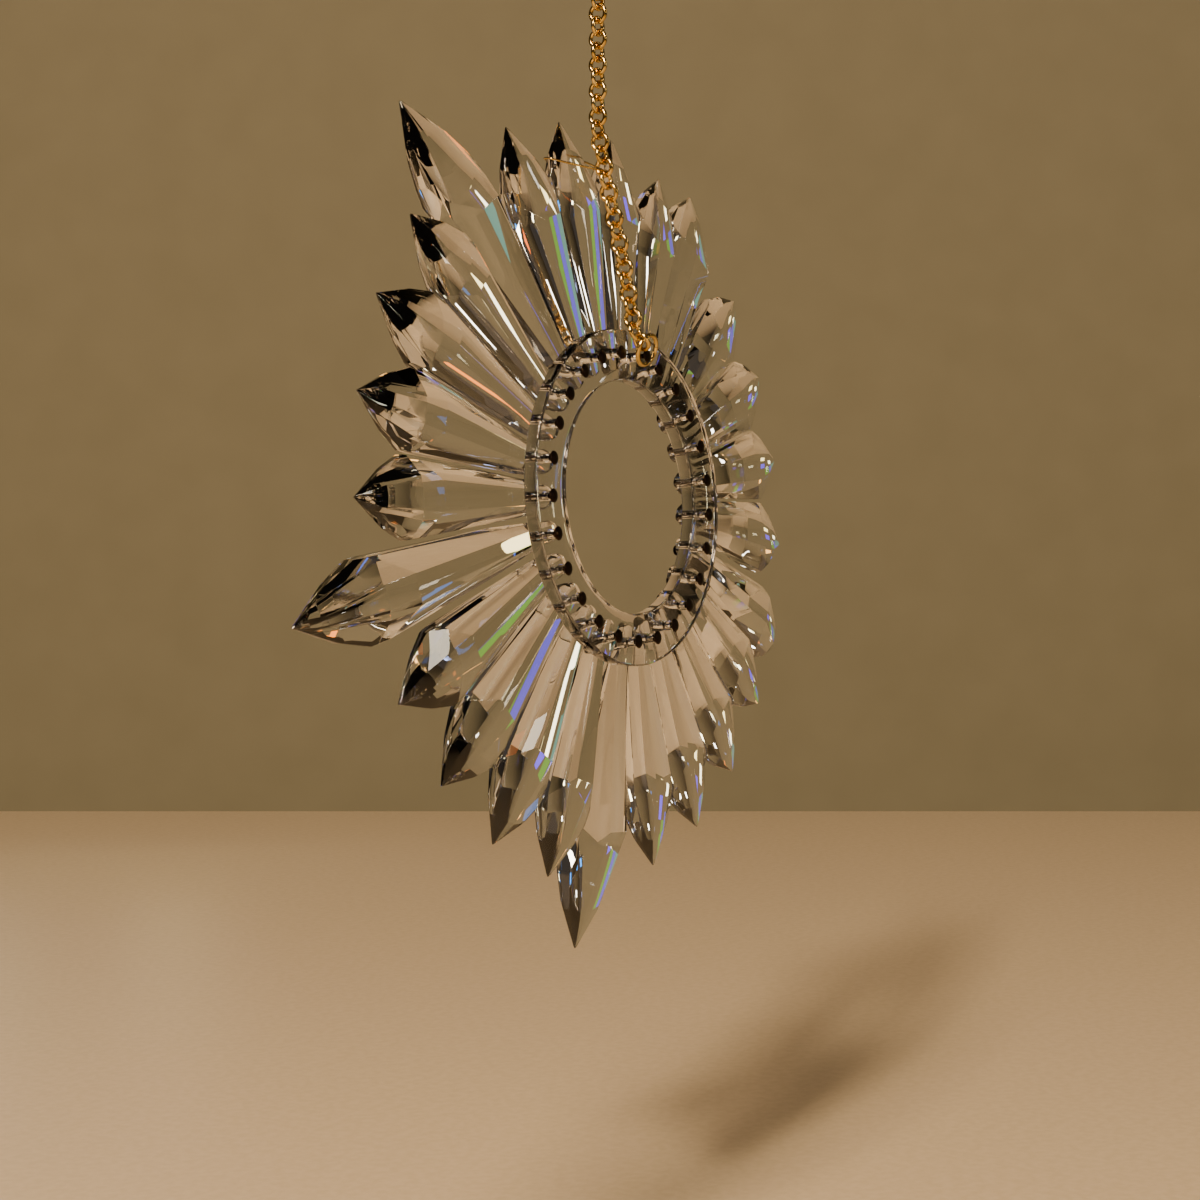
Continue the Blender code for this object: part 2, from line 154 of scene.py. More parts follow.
def cut_crystal():
    """Full lead crystal, ground to flat facets and acid polished: water clear, with a wiped surface's faint haze."""
    finish, tree, shader = new_finish(
        "lead_crystal_cut_and_polished", Base_Color=from_hex("ffffff"), Transmission_Weight=1.0, IOR=1.57)
    place = add_node(tree, "ShaderNodeTexCoord")
    # Wipe marks about 5 mm across
    marks = add_node(tree, "ShaderNodeTexNoise", links={
        "Vector": (place, "Object"), "Scale": 200.0, "Detail": 3.0, "Roughness": 0.6})
    haze = add_node(tree, "ShaderNodeMapRange", links={
        "Value": (marks, "Fac"), "From Min": 0.55, "From Max": 0.8, "To Min": 0.0, "To Max": 0.035})
    tree.links.new(haze.outputs["Result"], shader.inputs["Roughness"])
    return finish


def drilled_crystal():
    """Lead crystal as a diamond drill leaves it: frosted by fine grit."""
    finish, tree, shader = new_finish(
        "lead_crystal_diamond_drilled", Base_Color=from_hex("f4f4f2"), Transmission_Weight=1.0, IOR=1.57)
    place = add_node(tree, "ShaderNodeTexCoord")
    # Grit scratches 0.08 mm apart round the hole
    grit = add_node(tree, "ShaderNodeTexNoise", links={
        "Vector": (place, "Object"), "Scale": 12000.0, "Detail": 2.0})
    frost = add_node(tree, "ShaderNodeMapRange", links={
        "Value": (grit, "Fac"), "From Min": 0.3, "From Max": 0.7, "To Min": 0.3, "To Max": 0.55})
    tree.links.new(frost.outputs["Result"], shader.inputs["Roughness"])
    return finish


def clear_acrylic():
    """Cast acrylic sheet, laser cut and flame polished: clear, with fine handling scratches."""
    finish, tree, shader = new_finish(
        "cast_acrylic_polished", Base_Color=from_hex("fbfcff"), Transmission_Weight=1.0, IOR=1.49)
    place = add_node(tree, "ShaderNodeTexCoord")
    # Scratches 0.2 mm apart and 4 mm long
    stretch = add_node(tree, "ShaderNodeMapping", links={
        "Vector": (place, "Object"), "Rotation": (0.0, 0.6, 0.0), "Scale": (1.0, 1.0, 0.05)})
    scratches = add_node(tree, "ShaderNodeTexNoise", links={
        "Vector": (stretch, "Vector"), "Scale": 5000.0, "Detail": 2.0})
    wear = add_node(tree, "ShaderNodeMapRange", links={
        "Value": (scratches, "Fac"), "From Min": 0.5, "From Max": 0.75, "To Min": 0.01, "To Max": 0.09})
    tree.links.new(wear.outputs["Result"], shader.inputs["Roughness"])
    return finish


def dark_bronze():
    """Brass head pins, chemically darkened: near black brown, a little lighter where they are rubbed."""
    finish, tree, shader = new_finish("brass_chemically_darkened", Metallic=1.0)
    place = add_node(tree, "ShaderNodeTexCoord")
    # Patches of the darkening about 0.6 mm across
    patches = add_node(tree, "ShaderNodeTexNoise", links={
        "Vector": (place, "Object"), "Scale": 1700.0, "Detail": 3.0, "Roughness": 0.65})
    shade = add_node(tree, "ShaderNodeValToRGB", links={"Fac": (patches, "Fac")})
    set_ramp(shade, [(0.35, from_hex("1d1511")), (0.62, from_hex("33241a")), (0.8, from_hex("5c4128"))])
    tree.links.new(shade.outputs["Color"], shader.inputs["Base Color"])
    gloss = add_node(tree, "ShaderNodeMapRange", links={
        "Value": (patches, "Fac"), "From Min": 0.3, "From Max": 0.75, "To Min": 0.42, "To Max": 0.24})
    tree.links.new(gloss.outputs["Result"], shader.inputs["Roughness"])
    grain = add_node(tree, "ShaderNodeBump", links={
        "Height": (patches, "Fac"), "Strength": 0.15, "Distance": 0.02 * MM})
    tree.links.new(grain.outputs["Normal"], shader.inputs["Normal"])
    return finish


def gold_plate():
    """Brass wire, drawn, formed and gold plated: bright yellow gold with soft drawing marks and rubbed places."""
    finish, tree, shader = new_finish("brass_gold_plated", Metallic=1.0)
    place = add_node(tree, "ShaderNodeTexCoord")
    # Slow changes of the plating's tone, about 3 mm across
    tone = add_node(tree, "ShaderNodeTexNoise", links={
        "Vector": (place, "Object"), "Scale": 330.0, "Detail": 2.0})
    shade = add_node(tree, "ShaderNodeValToRGB", links={"Fac": (tone, "Fac")})
    set_ramp(shade, [(0.3, from_hex("b8964c")), (0.7, from_hex("dfc27c"))])
    tree.links.new(shade.outputs["Color"], shader.inputs["Base Color"])
    # Handling wear 0.15 mm across
    wear = add_node(tree, "ShaderNodeTexNoise", links={
        "Vector": (place, "Object"), "Scale": 6500.0, "Detail": 3.0, "Roughness": 0.6})
    gloss = add_node(tree, "ShaderNodeMapRange", links={
        "Value": (wear, "Fac"), "From Min": 0.35, "From Max": 0.75, "To Min": 0.1, "To Max": 0.24})
    tree.links.new(gloss.outputs["Result"], shader.inputs["Roughness"])
    marks = add_node(tree, "ShaderNodeBump", links={
        "Height": (wear, "Fac"), "Strength": 0.1, "Distance": 0.01 * MM})
    tree.links.new(marks.outputs["Normal"], shader.inputs["Normal"])
    return finish


def pale_stone():
    """The studio floor: honed pale engineered stone."""
    finish, tree, shader = new_finish("engineered_stone_honed", Roughness=0.45)
    place = add_node(tree, "ShaderNodeTexCoord")
    # Grain about 2 mm across
    grain = add_node(tree, "ShaderNodeTexNoise", links={
        "Vector": (place, "Object"), "Scale": 500.0, "Detail": 3.0})
    shade = add_node(tree, "ShaderNodeValToRGB", links={"Fac": (grain, "Fac")})
    set_ramp(shade, [(0.35, from_hex("cab798")), (0.65, from_hex("d2bfa2"))])
    tree.links.new(shade.outputs["Color"], shader.inputs["Base Color"])
    return finish


def painted_wall():
    """The studio backdrop: matt tan wall paint."""
    finish, tree, shader = new_finish("matt_wall_paint", Roughness=0.8)
    place = add_node(tree, "ShaderNodeTexCoord")
    # Roller texture, drawn 20 mm across because the real one is too fine to show
    roller = add_node(tree, "ShaderNodeTexNoise", links={
        "Vector": (place, "Object"), "Scale": 50.0, "Detail": 2.0})
    shade = add_node(tree, "ShaderNodeValToRGB", links={"Fac": (roller, "Fac")})
    set_ramp(shade, [(0.3, from_hex("6d6955")), (0.7, from_hex("706c58"))])
    tree.links.new(shade.outputs["Color"], shader.inputs["Base Color"])
    return finish


CRYSTAL = cut_crystal()
DRILLED = drilled_crystal()
ACRYLIC = clear_acrylic()
BRONZE = dark_bronze()
GOLD = gold_plate()


# Meshes

def mesh_from(bm, name, smooth_up_to=None):
    bmesh.ops.recalc_face_normals(bm, faces=bm.faces)
    mesh = bpy.data.meshes.new(name)
    bm.to_mesh(mesh)
    bm.free()
    if smooth_up_to is not None:
        mesh.shade_smooth()
        mesh.set_sharp_from_angle(angle=smooth_up_to)
    return mesh


def add_piece(name, mesh, finishes, node):
    """One finished piece, in the place of its CAD node."""
    piece = bpy.data.objects.new(name, mesh)
    bpy.context.scene.collection.objects.link(piece)
    mesh.materials.clear()
    for finish in finishes:
        mesh.materials.append(finish)
    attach(piece, "root")
    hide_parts(node)
    return piece


def drilled(blank, drills, name):
    """A blank's mesh with the drills' mesh cut out of it."""
    items = [bpy.data.objects.new(name + "_blank", blank), bpy.data.objects.new(name + "_drills", drills)]
    for item in items:
        bpy.context.scene.collection.objects.link(item)
    cut = items[0].modifiers.new("drill", "BOOLEAN")
    cut.operation = "DIFFERENCE"
    cut.solver = "EXACT"
    cut.object = items[1]
    mesh = bpy.data.meshes.new_from_object(items[0].evaluated_get(bpy.context.evaluated_depsgraph_get()))
    for item in items:
        bpy.data.objects.remove(item, do_unlink=True)
    mesh.name = name
    return mesh


def add_drill(bm, centre, axis, length):
    turn = Z_AXIS.rotation_difference(axis).to_matrix().to_4x4()
    bmesh.ops.create_cone(
        bm, cap_ends=True, segments=32, radius1=HOLE_RADIUS, radius2=HOLE_RADIUS, depth=length,
        matrix=Matrix.Translation(centre) @ turn)


def add_turned(bm, outline, steps):
    """Turn (radius, depth) points about the Y axis into one closed skin."""
    corners = [bm.verts.new((radius, depth, 0)) for radius, depth in outline]
    edges = [bm.edges.new(pair) for pair in zip(corners, corners[1:])]
    bmesh.ops.spin(
        bm, geom=corners + edges, cent=(0, 0, 0), axis=(0, 1, 0), dvec=(0, 0, 0),
        angle=2 * pi, steps=steps, use_merge=True)
    bmesh.ops.remove_doubles(bm, verts=bm.verts, dist=0.002 * MM)


def without(vector, axis):
    """A direction with its share along another one taken out."""
    return (vector - vector.dot(axis) * axis).normalized()


def wire_ring(centre, normal, radius, wire_radius, steps, sides, cut_at=None):
    """A ring of round wire. A jump ring has a saw cut, in the direction cut_at from its middle."""
    start = without(cut_at or normal.orthogonal(), normal)
    turned = Matrix((start, normal.cross(start), normal)).transposed().to_4x4()
    half_cut = SAW_CUT / 2 / radius if cut_at else 0.0
    bm = bmesh.new()
    bmesh.ops.create_circle(
        bm, cap_ends=bool(cut_at), segments=sides, radius=wire_radius,
        matrix=Matrix.Rotation(half_cut, 4, "Z") @ Matrix.Translation((radius, 0, 0)) @ Matrix.Rotation(pi / 2, 4, "X"))
    bmesh.ops.spin(
        bm, geom=list(bm.verts) + list(bm.edges) + list(bm.faces), cent=(0, 0, 0), axis=(0, 0, 1), dvec=(0, 0, 0),
        angle=2 * pi - 2 * half_cut, steps=steps, use_merge=not cut_at)
    bmesh.ops.holes_fill(bm, edges=list(bm.edges), sides=sides)
    bmesh.ops.transform(bm, matrix=Matrix.Translation(centre) @ turned, verts=bm.verts)
    return bm


# A prism in its own frame: Z outwards along it from its hole, X across it, and Y through it to the back

def between(stations, place):
    """The value at one place of a line through (place, value) stations."""
    for (start, low), (end, high) in zip(stations, stations[1:]):
        if place <= end:
            return low + (high - low) * (place - start) / (end - start)
    return stations[-1][1]


class Cut:
    """The sizes of one kind of prism."""

    def __init__(self, length, width, thickness, splay):
        self.length = length
        self.splay = splay
        self.widest = width / 2
        self.thickest = thickness / 2
        self.taper = (self.thickest - TONGUE_THICKNESS / 2) / (RIDGE_AT * length)
        self.outline = [
            (0.0, TONGUE_RADIUS),
            (FLANK_AT * length, FLANK_WIDTH * self.widest),
            (SHOULDER_AT * length, self.widest),
            (POINT_AT * length, POINT_WIDTH * self.widest),
            (length, 0.0),
        ]
        self.profile = [
            (0.0, TONGUE_THICKNESS / 2),
            (RIDGE_AT * length, self.thickest),
            (TIP_FACET_AT * length, TIP_FACET_THICKNESS * self.thickest),
            (length + TIP_OVERRUN, 0.0),
        ]

    def table_edge(self, along, across, through):
        """A point where a table facet meets a bevel."""
        half_table = TABLE_SHARE * between(self.outline, along)
        return Vector((across * half_table, through * between(self.profile, along), along))

    def girdle(self, along, across, through):
        """A point where a bevel meets a side."""
        rise = GIRDLE_SHARE * between(self.profile, along)
        return Vector((across * between(self.outline, along), through * rise, along))


SHORT = Cut(36.4 * MM, 11.8 * MM, 6.4 * MM, radians(5.5))
LONG = Cut(46.9 * MM, 12.2 * MM, 10.0 * MM, radians(10.8))


def grind(bm, point, normal):
    """Grind one flat facet: all that is beyond it goes, and one face closes the cut."""
    everything = list(bm.verts) + list(bm.edges) + list(bm.faces)
    done = bmesh.ops.bisect_plane(
        bm, geom=everything, dist=0.002 * MM, plane_co=point, plane_no=normal, clear_outer=True)
    rim = [item for item in done["geom_cut"] if isinstance(item, bmesh.types.BMEdge) and item.is_boundary]
    if rim:
        bmesh.ops.contextual_create(bm, geom=rim)


def grind_between(bm, one, two, three, inside):
    """Grind the facet through three points, on the side away from a point inside the prism."""
    normal = (two - one).cross(three - one).normalized()
    if normal.dot(one - inside) < 0:
        normal.negate()
    grind(bm, one, normal)


def ground_prism(kind):
    """A prism, ground facet by facet out of a block: its sides, tongue, tables and bevels."""
    bm = bmesh.new()
    bmesh.ops.create_cube(bm, size=1.0)
    bmesh.ops.scale(
        bm, verts=bm.verts, vec=(3 * kind.widest, 3 * kind.thickest, kind.length + 4 * TONGUE_RADIUS))
    bmesh.ops.translate(bm, verts=bm.verts, vec=(0, 0, kind.length / 2))
    for across in (1, -1):
        for (start, low), (end, high) in zip(kind.outline, kind.outline[1:]):
            grind(bm, Vector((across * low, 0, start)), Vector((across * (end - start), 0, low - high)).normalized())
    for step in range(TONGUE_CUTS):
        turn = pi * (step + 1) / (TONGUE_CUTS + 1)
        outwards = Vector((cos(turn), 0, -sin(turn)))
        grind(bm, outwards * TONGUE_RADIUS, outwards)
    for through in (1, -1):
        for (start, low), (end, high) in zip(kind.profile, kind.profile[1:]):
            grind(bm, Vector((0, through * low, start)), Vector((0, through * (end - start), low - high)).normalized())
    ridge = RIDGE_AT * kind.length
    shoulder = SHOULDER_AT * kind.length
    tip_facet = TIP_FACET_AT * kind.length
    inside = Vector((0, 0, ridge))
    tip = Vector((0, 0, kind.length + TIP_OVERRUN))
    for side in ((1, 1), (1, -1), (-1, 1), (-1, -1)):
        ridge_edge = kind.table_edge(ridge, *side)
        tip_facet_edge = kind.table_edge(tip_facet, *side)
        grind_between(bm, kind.table_edge(0, *side), ridge_edge, kind.girdle(ridge, *side), inside)
        grind_between(bm, ridge_edge, tip_facet_edge, kind.girdle(shoulder, *side), inside)
        grind_between(bm, tip_facet_edge, kind.girdle(tip_facet, *side), tip, inside)
    return bm


def prism_mesh(kind, name):
    """A ground prism with its edges polished and its tongue drilled square to the ring."""
    bm = ground_prism(kind)
    bmesh.ops.dissolve_limit(bm, angle_limit=0.002, verts=bm.verts, edges=bm.edges)
    bmesh.ops.bevel(
        bm, geom=list(bm.edges), offset=EDGE_POLISH, offset_type="OFFSET", affect="EDGES",
        segments=1, profile=0.5, material=-1)
    drill = bmesh.new()
    pin_axis = Vector((0, cos(kind.splay), sin(kind.splay)))
    add_drill(drill, Vector((0, 0, 0)), pin_axis, 3 * TONGUE_THICKNESS)
    mesh = drilled(mesh_from(bm, name), mesh_from(drill, name), name)
    for face in mesh.polygons:
        from_axis = face.center - face.center.dot(pin_axis) * pin_axis
        is_wall = from_axis.length < 1.01 * HOLE_RADIUS and abs(face.normal.dot(pin_axis)) < 0.5
        face.material_index = 1 if is_wall else 0
        face.use_smooth = is_wall
    mesh.set_sharp_from_angle(angle=radians(20))
    return mesh


# The sunburst in its own frame: Y = 0 is the ring's front face, and the prisms' tongues lie behind the ring

def kind_of(index):
    return LONG if index % LONG_EVERY == LONG_EVERY - 1 else SHORT


def turn_of(index):
    """Clockwise from straight up, seen from the front."""
    return FIRST_PRISM_TURN + 2 * pi * index / PRISM_COUNT


def pin_point(index, depth):
    turn = turn_of(index)
    return Vector((PIN_CIRCLE_RADIUS * sin(turn), depth, PIN_CIRCLE_RADIUS * cos(turn)))


def reach(kind, along, forward):
    """How far a tongue reaches forward of its hole's middle, or back, at a place along the prism."""
    half = TONGUE_THICKNESS / 2 + kind.taper * along
    return half * cos(kind.splay) - forward * along * sin(kind.splay)


RING_RIM = RING_OUTER_RADIUS - PIN_CIRCLE_RADIUS
FRONT_REACH = max(reach(kind, along, 1) for kind in (SHORT, LONG) for along in (-TONGUE_RADIUS, RING_RIM))
BACK_REACH = max(reach(kind, BACK_HEAD_RADIUS, -1) for kind in (SHORT, LONG))
TONGUE_DEPTH = RING_THICKNESS + GAP + FRONT_REACH
BACK_HEAD_DEPTH = TONGUE_DEPTH + BACK_REACH + GAP


def prism_place(index):
    turned = Matrix.Rotation(turn_of(index), 4, "Y")
    splayed = Matrix.Rotation(-kind_of(index).splay, 4, "X")
    return Matrix.Translation(pin_point(index, TONGUE_DEPTH)) @ turned @ splayed


def pin_mesh(name, head_depth):
    """A pin: a domed head with a coned back, a shaft, and a small closed head behind."""
    front = head_depth - HEAD_HEIGHT
    back = BACK_HEAD_DEPTH
    dome = [(0, 0), (0.35, 0.03), (0.6, 0.1), (0.8, 0.22), (0.93, 0.36), (1.0, 0.52), (0.97, 0.64), (0.84, 0.74)]
    closed = [(1.0, 0.3), (0.99, 0.48), (0.9, 0.7), (0.72, 0.87), (0.45, 0.97), (0, 1.0)]
    outline = [(radius * HEAD_RADIUS, front + depth * HEAD_HEIGHT) for radius, depth in dome]
    outline += [(SHAFT_RADIUS, head_depth), (SHAFT_RADIUS, back)]
    outline += [(radius * BACK_HEAD_RADIUS, back + depth * HEAD_HEIGHT) for radius, depth in closed]
    bm = bmesh.new()
    add_turned(bm, outline, 32)
    return mesh_from(bm, name, radians(50))


def ring_mesh():
    """The flat clear ring with softly rounded edges, drilled for every pin."""
    corners = (
        (RING_OUTER_RADIUS - RING_EDGE_RADIUS, RING_EDGE_RADIUS, -pi / 2),
        (RING_OUTER_RADIUS - RING_EDGE_RADIUS, RING_THICKNESS - RING_EDGE_RADIUS, 0.0),
        (RING_INNER_RADIUS + RING_EDGE_RADIUS, RING_THICKNESS - RING_EDGE_RADIUS, pi / 2),
        (RING_INNER_RADIUS + RING_EDGE_RADIUS, RING_EDGE_RADIUS, pi),
    )
    outline = []
    for radius, depth, start in corners:
        for step in range(4):
            turn = start + pi / 2 * step / 3
            outline.append((radius + RING_EDGE_RADIUS * cos(turn), depth + RING_EDGE_RADIUS * sin(turn)))
    blank = bmesh.new()
    add_turned(blank, outline + outline[:1], 150)
    drills = bmesh.new()
    for index in range(PRISM_COUNT):
        add_drill(drills, pin_point(index, RING_THICKNESS / 2), Y_AXIS, 2 * RING_THICKNESS)
    mesh = drilled(mesh_from(blank, "ring"), mesh_from(drills, "ring"), "flat_clear_ring")
    mesh.shade_smooth()
    mesh.set_sharp_from_angle(angle=radians(35))
    return mesh


# What hangs the sunburst is in an upright frame whose origin is the sunburst's middle

# How far a jump ring's wire lies from the middle of the link it goes through
THREADED = LINK_RADIUS - LINK_WIRE_RADIUS - JUMP_RING_WIRE_RADIUS - GAP


class LowerRing:
    """The jump ring round the chained pin's shaft, just in front of the clear ring."""

    drop = SHAFT_RADIUS + LOWER_RING_SLACK + JUMP_RING_WIRE_RADIUS
    bottom = LEANING @ (pin_point(CHAINED_PRISM, -GAP - JUMP_RING_WIRE_RADIUS) - drop * Z_AXIS)
    up = LEANING @ Vector((0, -sin(LOWER_RING_TILT), cos(LOWER_RING_TILT)))
    normal = LEANING @ Vector((0, cos(LOWER_RING_TILT), sin(LOWER_RING_TILT)))
    centre = bottom + JUMP_RING_RADIUS * up
    in_link = centre + JUMP_RING_RADIUS * (cos(LOWER_RING_LINK_TURN) * up - sin(LOWER_RING_LINK_TURN) * X_AXIS)
    along_wire = cos(LOWER_RING_LINK_TURN) * X_AXIS + sin(LOWER_RING_LINK_TURN) * up


# The first link is turned half way from the next ones to face along the jump ring's wire
FIRST_LINK_NORMAL = (LowerRing.along_wire + X_AXIS).normalized()


def chain_centres():
    """Each link's middle in turn, towards one pass after another and then straight up."""
    short_reach = PIN_CIRCLE_RADIUS + SHORT.length
    passes = [LEANING @ (Vector(shares) * short_reach) for shares in CHAIN_PASSES]
    first = LowerRing.in_link
    centres = [first, first + LINK_PITCH * without(passes[0] - first, FIRST_LINK_NORMAL)]
    while len(centres) < LINK_COUNT:
        while passes and (passes[0] - centres[-1]).length < LINK_PITCH:
            passes.pop(0)
        heading = (passes[0] - centres[-1]).normalized() if passes else Z_AXIS
        centres.append(centres[-1] + LINK_PITCH * heading)
    return centres


CENTRES = chain_centres()
UPPER_RING_CENTRE = CENTRES[-1] + (THREADED + JUMP_RING_RADIUS) * Z_AXIS
HANGING_RING_FOOT = JUMP_RING_RADIUS - JUMP_RING_WIRE_RADIUS - GAP - HANGING_RING_WIRE_RADIUS
HANGING_RING_CENTRE = UPPER_RING_CENTRE + (HANGING_RING_FOOT + HANGING_RING_RADIUS) * Z_AXIS
HANG_POINT = HANGING_RING_CENTRE + (HANGING_RING_RADIUS - HANGING_RING_WIRE_RADIUS) * Z_AXIS
UPRIGHT = Matrix.Translation(-HANG_POINT)
SUNBURST = UPRIGHT @ LEANING


def chain_mesh():
    """Round links of round wire, each at right angles to the next."""
    bm = bmesh.new()
    for index, centre in enumerate(CENTRES):
        before = CENTRES[max(index - 1, 0)]
        after = CENTRES[min(index + 1, LINK_COUNT - 1)]
        along = (after - before).normalized()
        normal = without(X_AXIS if index else FIRST_LINK_NORMAL, along)
        if index % 2:
            normal = along.cross(normal)
        link = mesh_from(wire_ring(centre, normal, LINK_RADIUS, LINK_WIRE_RADIUS, 36, 16), "link")
        bm.from_mesh(link)
    return mesh_from(bm, "chain_links", radians(60))


def wire_ring_mesh(name, centre, normal, radius, wire_radius, cut_at=None):
    return mesh_from(wire_ring(centre, normal, radius, wire_radius, 72, 20, cut_at), name, radians(50))


def hull(points):
    """The corners of the smallest outline round flat points, in turn."""
    def chain(ordered):
        corners = []
        for point in ordered:
            while len(corners) > 1 and (corners[-1] - corners[-2]).cross(point - corners[-2]) <= 0:
                corners.pop()
            corners.append(point)
        return corners[:-1]
    ordered = sorted(points, key=lambda point: (point.x, point.y))
    return chain(ordered) + chain(ordered[::-1])


def slant(depth, along, link_wire):
    """How far out along the prism the keeper wire's loop is at a depth."""
    return along + (link_wire.z - along) * max(depth / link_wire.y, 0.0)


def on_slant(edge, across, through, along, link_wire):
    """Where one of the prism's long edges goes through the slanted loop, found by coming closer five times."""
    point = edge(along, across, through)
    for _ in range(5):
        point = edge(slant(point.y, along, link_wire), across, through)
    return point


def keeper_points():
    """The taut loop round the kept prism and through a link: its corners, in the prism's frame."""
    kind = kind_of(KEPT_PRISM)
    place = LEANING @ prism_place(KEPT_PRISM)
    along = KEEPER_AT * kind.length
    level = along - KEEPER_DROP
    link = min(CENTRES[::2], key=lambda centre: abs((place.inverted() @ centre).z - level))
    towards_prism = LEANING @ Y_AXIS
    link_wire = place.inverted() @ (link + LINK_RADIUS * towards_prism)
    clear = KEEPER_WIRE_RADIUS + GAP
    bend = LINK_WIRE_RADIUS + clear
    flat = []
    for step in range(24):
        turn = 2 * pi * step / 24
        flat.append(Vector((link_wire.x + 1.05 * bend * cos(turn), link_wire.y + 1.05 * bend * sin(turn))))
    for across in (1, -1):
        for through in (1, -1):
            girdle = on_slant(kind.girdle, across, through, along, link_wire)
            table_edge = on_slant(kind.table_edge, across, through, along, link_wire)
            flat.append(Vector((girdle.x + across * clear, girdle.y)))
            flat.append(Vector((girdle.x + 0.8 * across * clear, girdle.y + 0.6 * through * clear)))
            flat.append(Vector((table_edge.x + 0.5 * across * clear, table_edge.y + through * clear)))
    corners = [Vector((point.x, point.y, slant(point.y, along, link_wire))) for point in hull(flat)]
    return corners, place


def keeper_mesh():
    """A taut loop of thin wire: straight runs with small round bends."""
    corners, place = keeper_points()
    path = []
    for index, corner in enumerate(corners):
        before = corners[index - 1] - corner
        after = corners[(index + 1) % len(corners)] - corner
        path.append(corner + before.normalized() * min(before.length / 3, 0.35 * MM))
        path.append(corner)
        path.append(corner + after.normalized() * min(after.length / 3, 0.35 * MM))
    curve = bpy.data.curves.new("keeper_wire_path", "CURVE")
    curve.dimensions = "3D"
    curve.bevel_depth = KEEPER_WIRE_RADIUS
    curve.bevel_resolution = 3
    line = curve.splines.new("NURBS")
    line.points.add(len(path) - 1)
    for point, where in zip(line.points, path):
        point.co = (*where, 1.0)
    line.order_u = 3
    line.resolution_u = 3
    line.use_cyclic_u = True
    drawn = bpy.data.objects.new("keeper_wire_path", curve)
    bpy.context.scene.collection.objects.link(drawn)
    mesh = bpy.data.meshes.new_from_object(drawn.evaluated_get(bpy.context.evaluated_depsgraph_get()))
    bpy.data.objects.remove(drawn, do_unlink=True)
    bpy.data.curves.remove(curve)
    mesh.transform(place)
    bm = bmesh.new()
    bm.from_mesh(mesh)
    bmesh.ops.remove_doubles(bm, verts=bm.verts, dist=0.002 * MM)
    return mesh_from(bm, "keeper_wire_loop", radians(60))


def placed(mesh, place, name):
    """A copy of a mesh with its place in its points."""
    made = mesh.copy()
    made.name = name
    made.transform(place)
    return made


def make_sunburst():
    prisms = {SHORT: prism_mesh(SHORT, "short_prism"), LONG: prism_mesh(LONG, "long_prism")}
    pin = pin_mesh("pin", -GAP)
    chained_pin = pin_mesh("chained_pin", -2 * GAP - 2 * JUMP_RING_WIRE_RADIUS)
    for index in range(PRISM_COUNT):
        number = f"{index + 1:02d}"
        cut = placed(prisms[kind_of(index)], SUNBURST @ prism_place(index), "cut_prism_" + number)
        add_piece(cut.name, cut, [CRYSTAL, DRILLED], "prism_" + number)
        shank = chained_pin if index == CHAINED_PRISM else pin
        # Each pin is turned by itself, so that no two show the same marks
        turned = Matrix.Translation(pin_point(index, 0)) @ Matrix.Rotation(2.4 * index, 4, "Y")
        head_pin = placed(shank, SUNBURST @ turned, "head_pin_" + number)
        add_piece(head_pin.name, head_pin, [BRONZE], "pin_" + number)
    ring = ring_mesh()
    ring.transform(SUNBURST)
    add_piece("flat_clear_ring", ring, [ACRYLIC], "clear_ring")


def make_hanging():
    last_normal, ring_normal = (X_AXIS, Y_AXIS) if LINK_COUNT % 2 == 0 else (Y_AXIS, X_AXIS)
    made = [
        ("chain_links", "chain", chain_mesh()),
        ("keeper_wire_loop", "keeper_wire", keeper_mesh()),
        ("lower_jump_ring_wire", "lower_jump_ring", wire_ring_mesh(
            "lower_jump_ring_wire", LowerRing.centre, LowerRing.normal, JUMP_RING_RADIUS, JUMP_RING_WIRE_RADIUS,
            X_AXIS + 0.3 * LowerRing.up)),
        ("upper_jump_ring_wire", "upper_jump_ring", wire_ring_mesh(
            "upper_jump_ring_wire", UPPER_RING_CENTRE, last_normal, JUMP_RING_RADIUS, JUMP_RING_WIRE_RADIUS,
            -ring_normal + 0.2 * Z_AXIS)),
        ("hanging_ring_wire", "hanging_ring", wire_ring_mesh(
            "hanging_ring_wire", HANGING_RING_CENTRE, ring_normal, HANGING_RING_RADIUS, HANGING_RING_WIRE_RADIUS)),
    ]
    for name, node, mesh in made:
        mesh.transform(UPRIGHT)
        add_piece(name, mesh, [GOLD], node)


# The studio

AZIMUTH = radians(-57.7)
TOWARDS_CAMERA = Vector((sin(AZIMUTH), -cos(AZIMUTH), 0))
TO_THE_RIGHT = Vector((cos(AZIMUTH), sin(AZIMUTH), 0))
MIDDLE = SUNBURST @ Vector((0, -0.5 * MM, 0))
FLOOR_DEPTH = 0.126
WALL_DISTANCE = 0.60


def from_middle(right, back, up):
    """A place in the studio, in metres right of the sunburst's middle, behind it and above it, as the camera sees it."""
    return MIDDLE + right * TO_THE_RIGHT - back * TOWARDS_CAMERA + up * Z_AXIS


def add_camera():
    camera = bpy.data.cameras.new("camera")
    camera.lens = 72.5
    camera.sensor_width = 36.0
    camera.shift_x = -0.0294
    camera.shift_y = -0.0863
    camera.clip_start = 0.01
    item = bpy.data.objects.new("camera", camera)
    bpy.context.scene.collection.objects.link(item)
    item.location = MIDDLE + 0.3671 * TOWARDS_CAMERA
    item.rotation_euler = (-TOWARDS_CAMERA).to_track_quat("-Z", "Y").to_euler()
    bpy.context.scene.camera = item


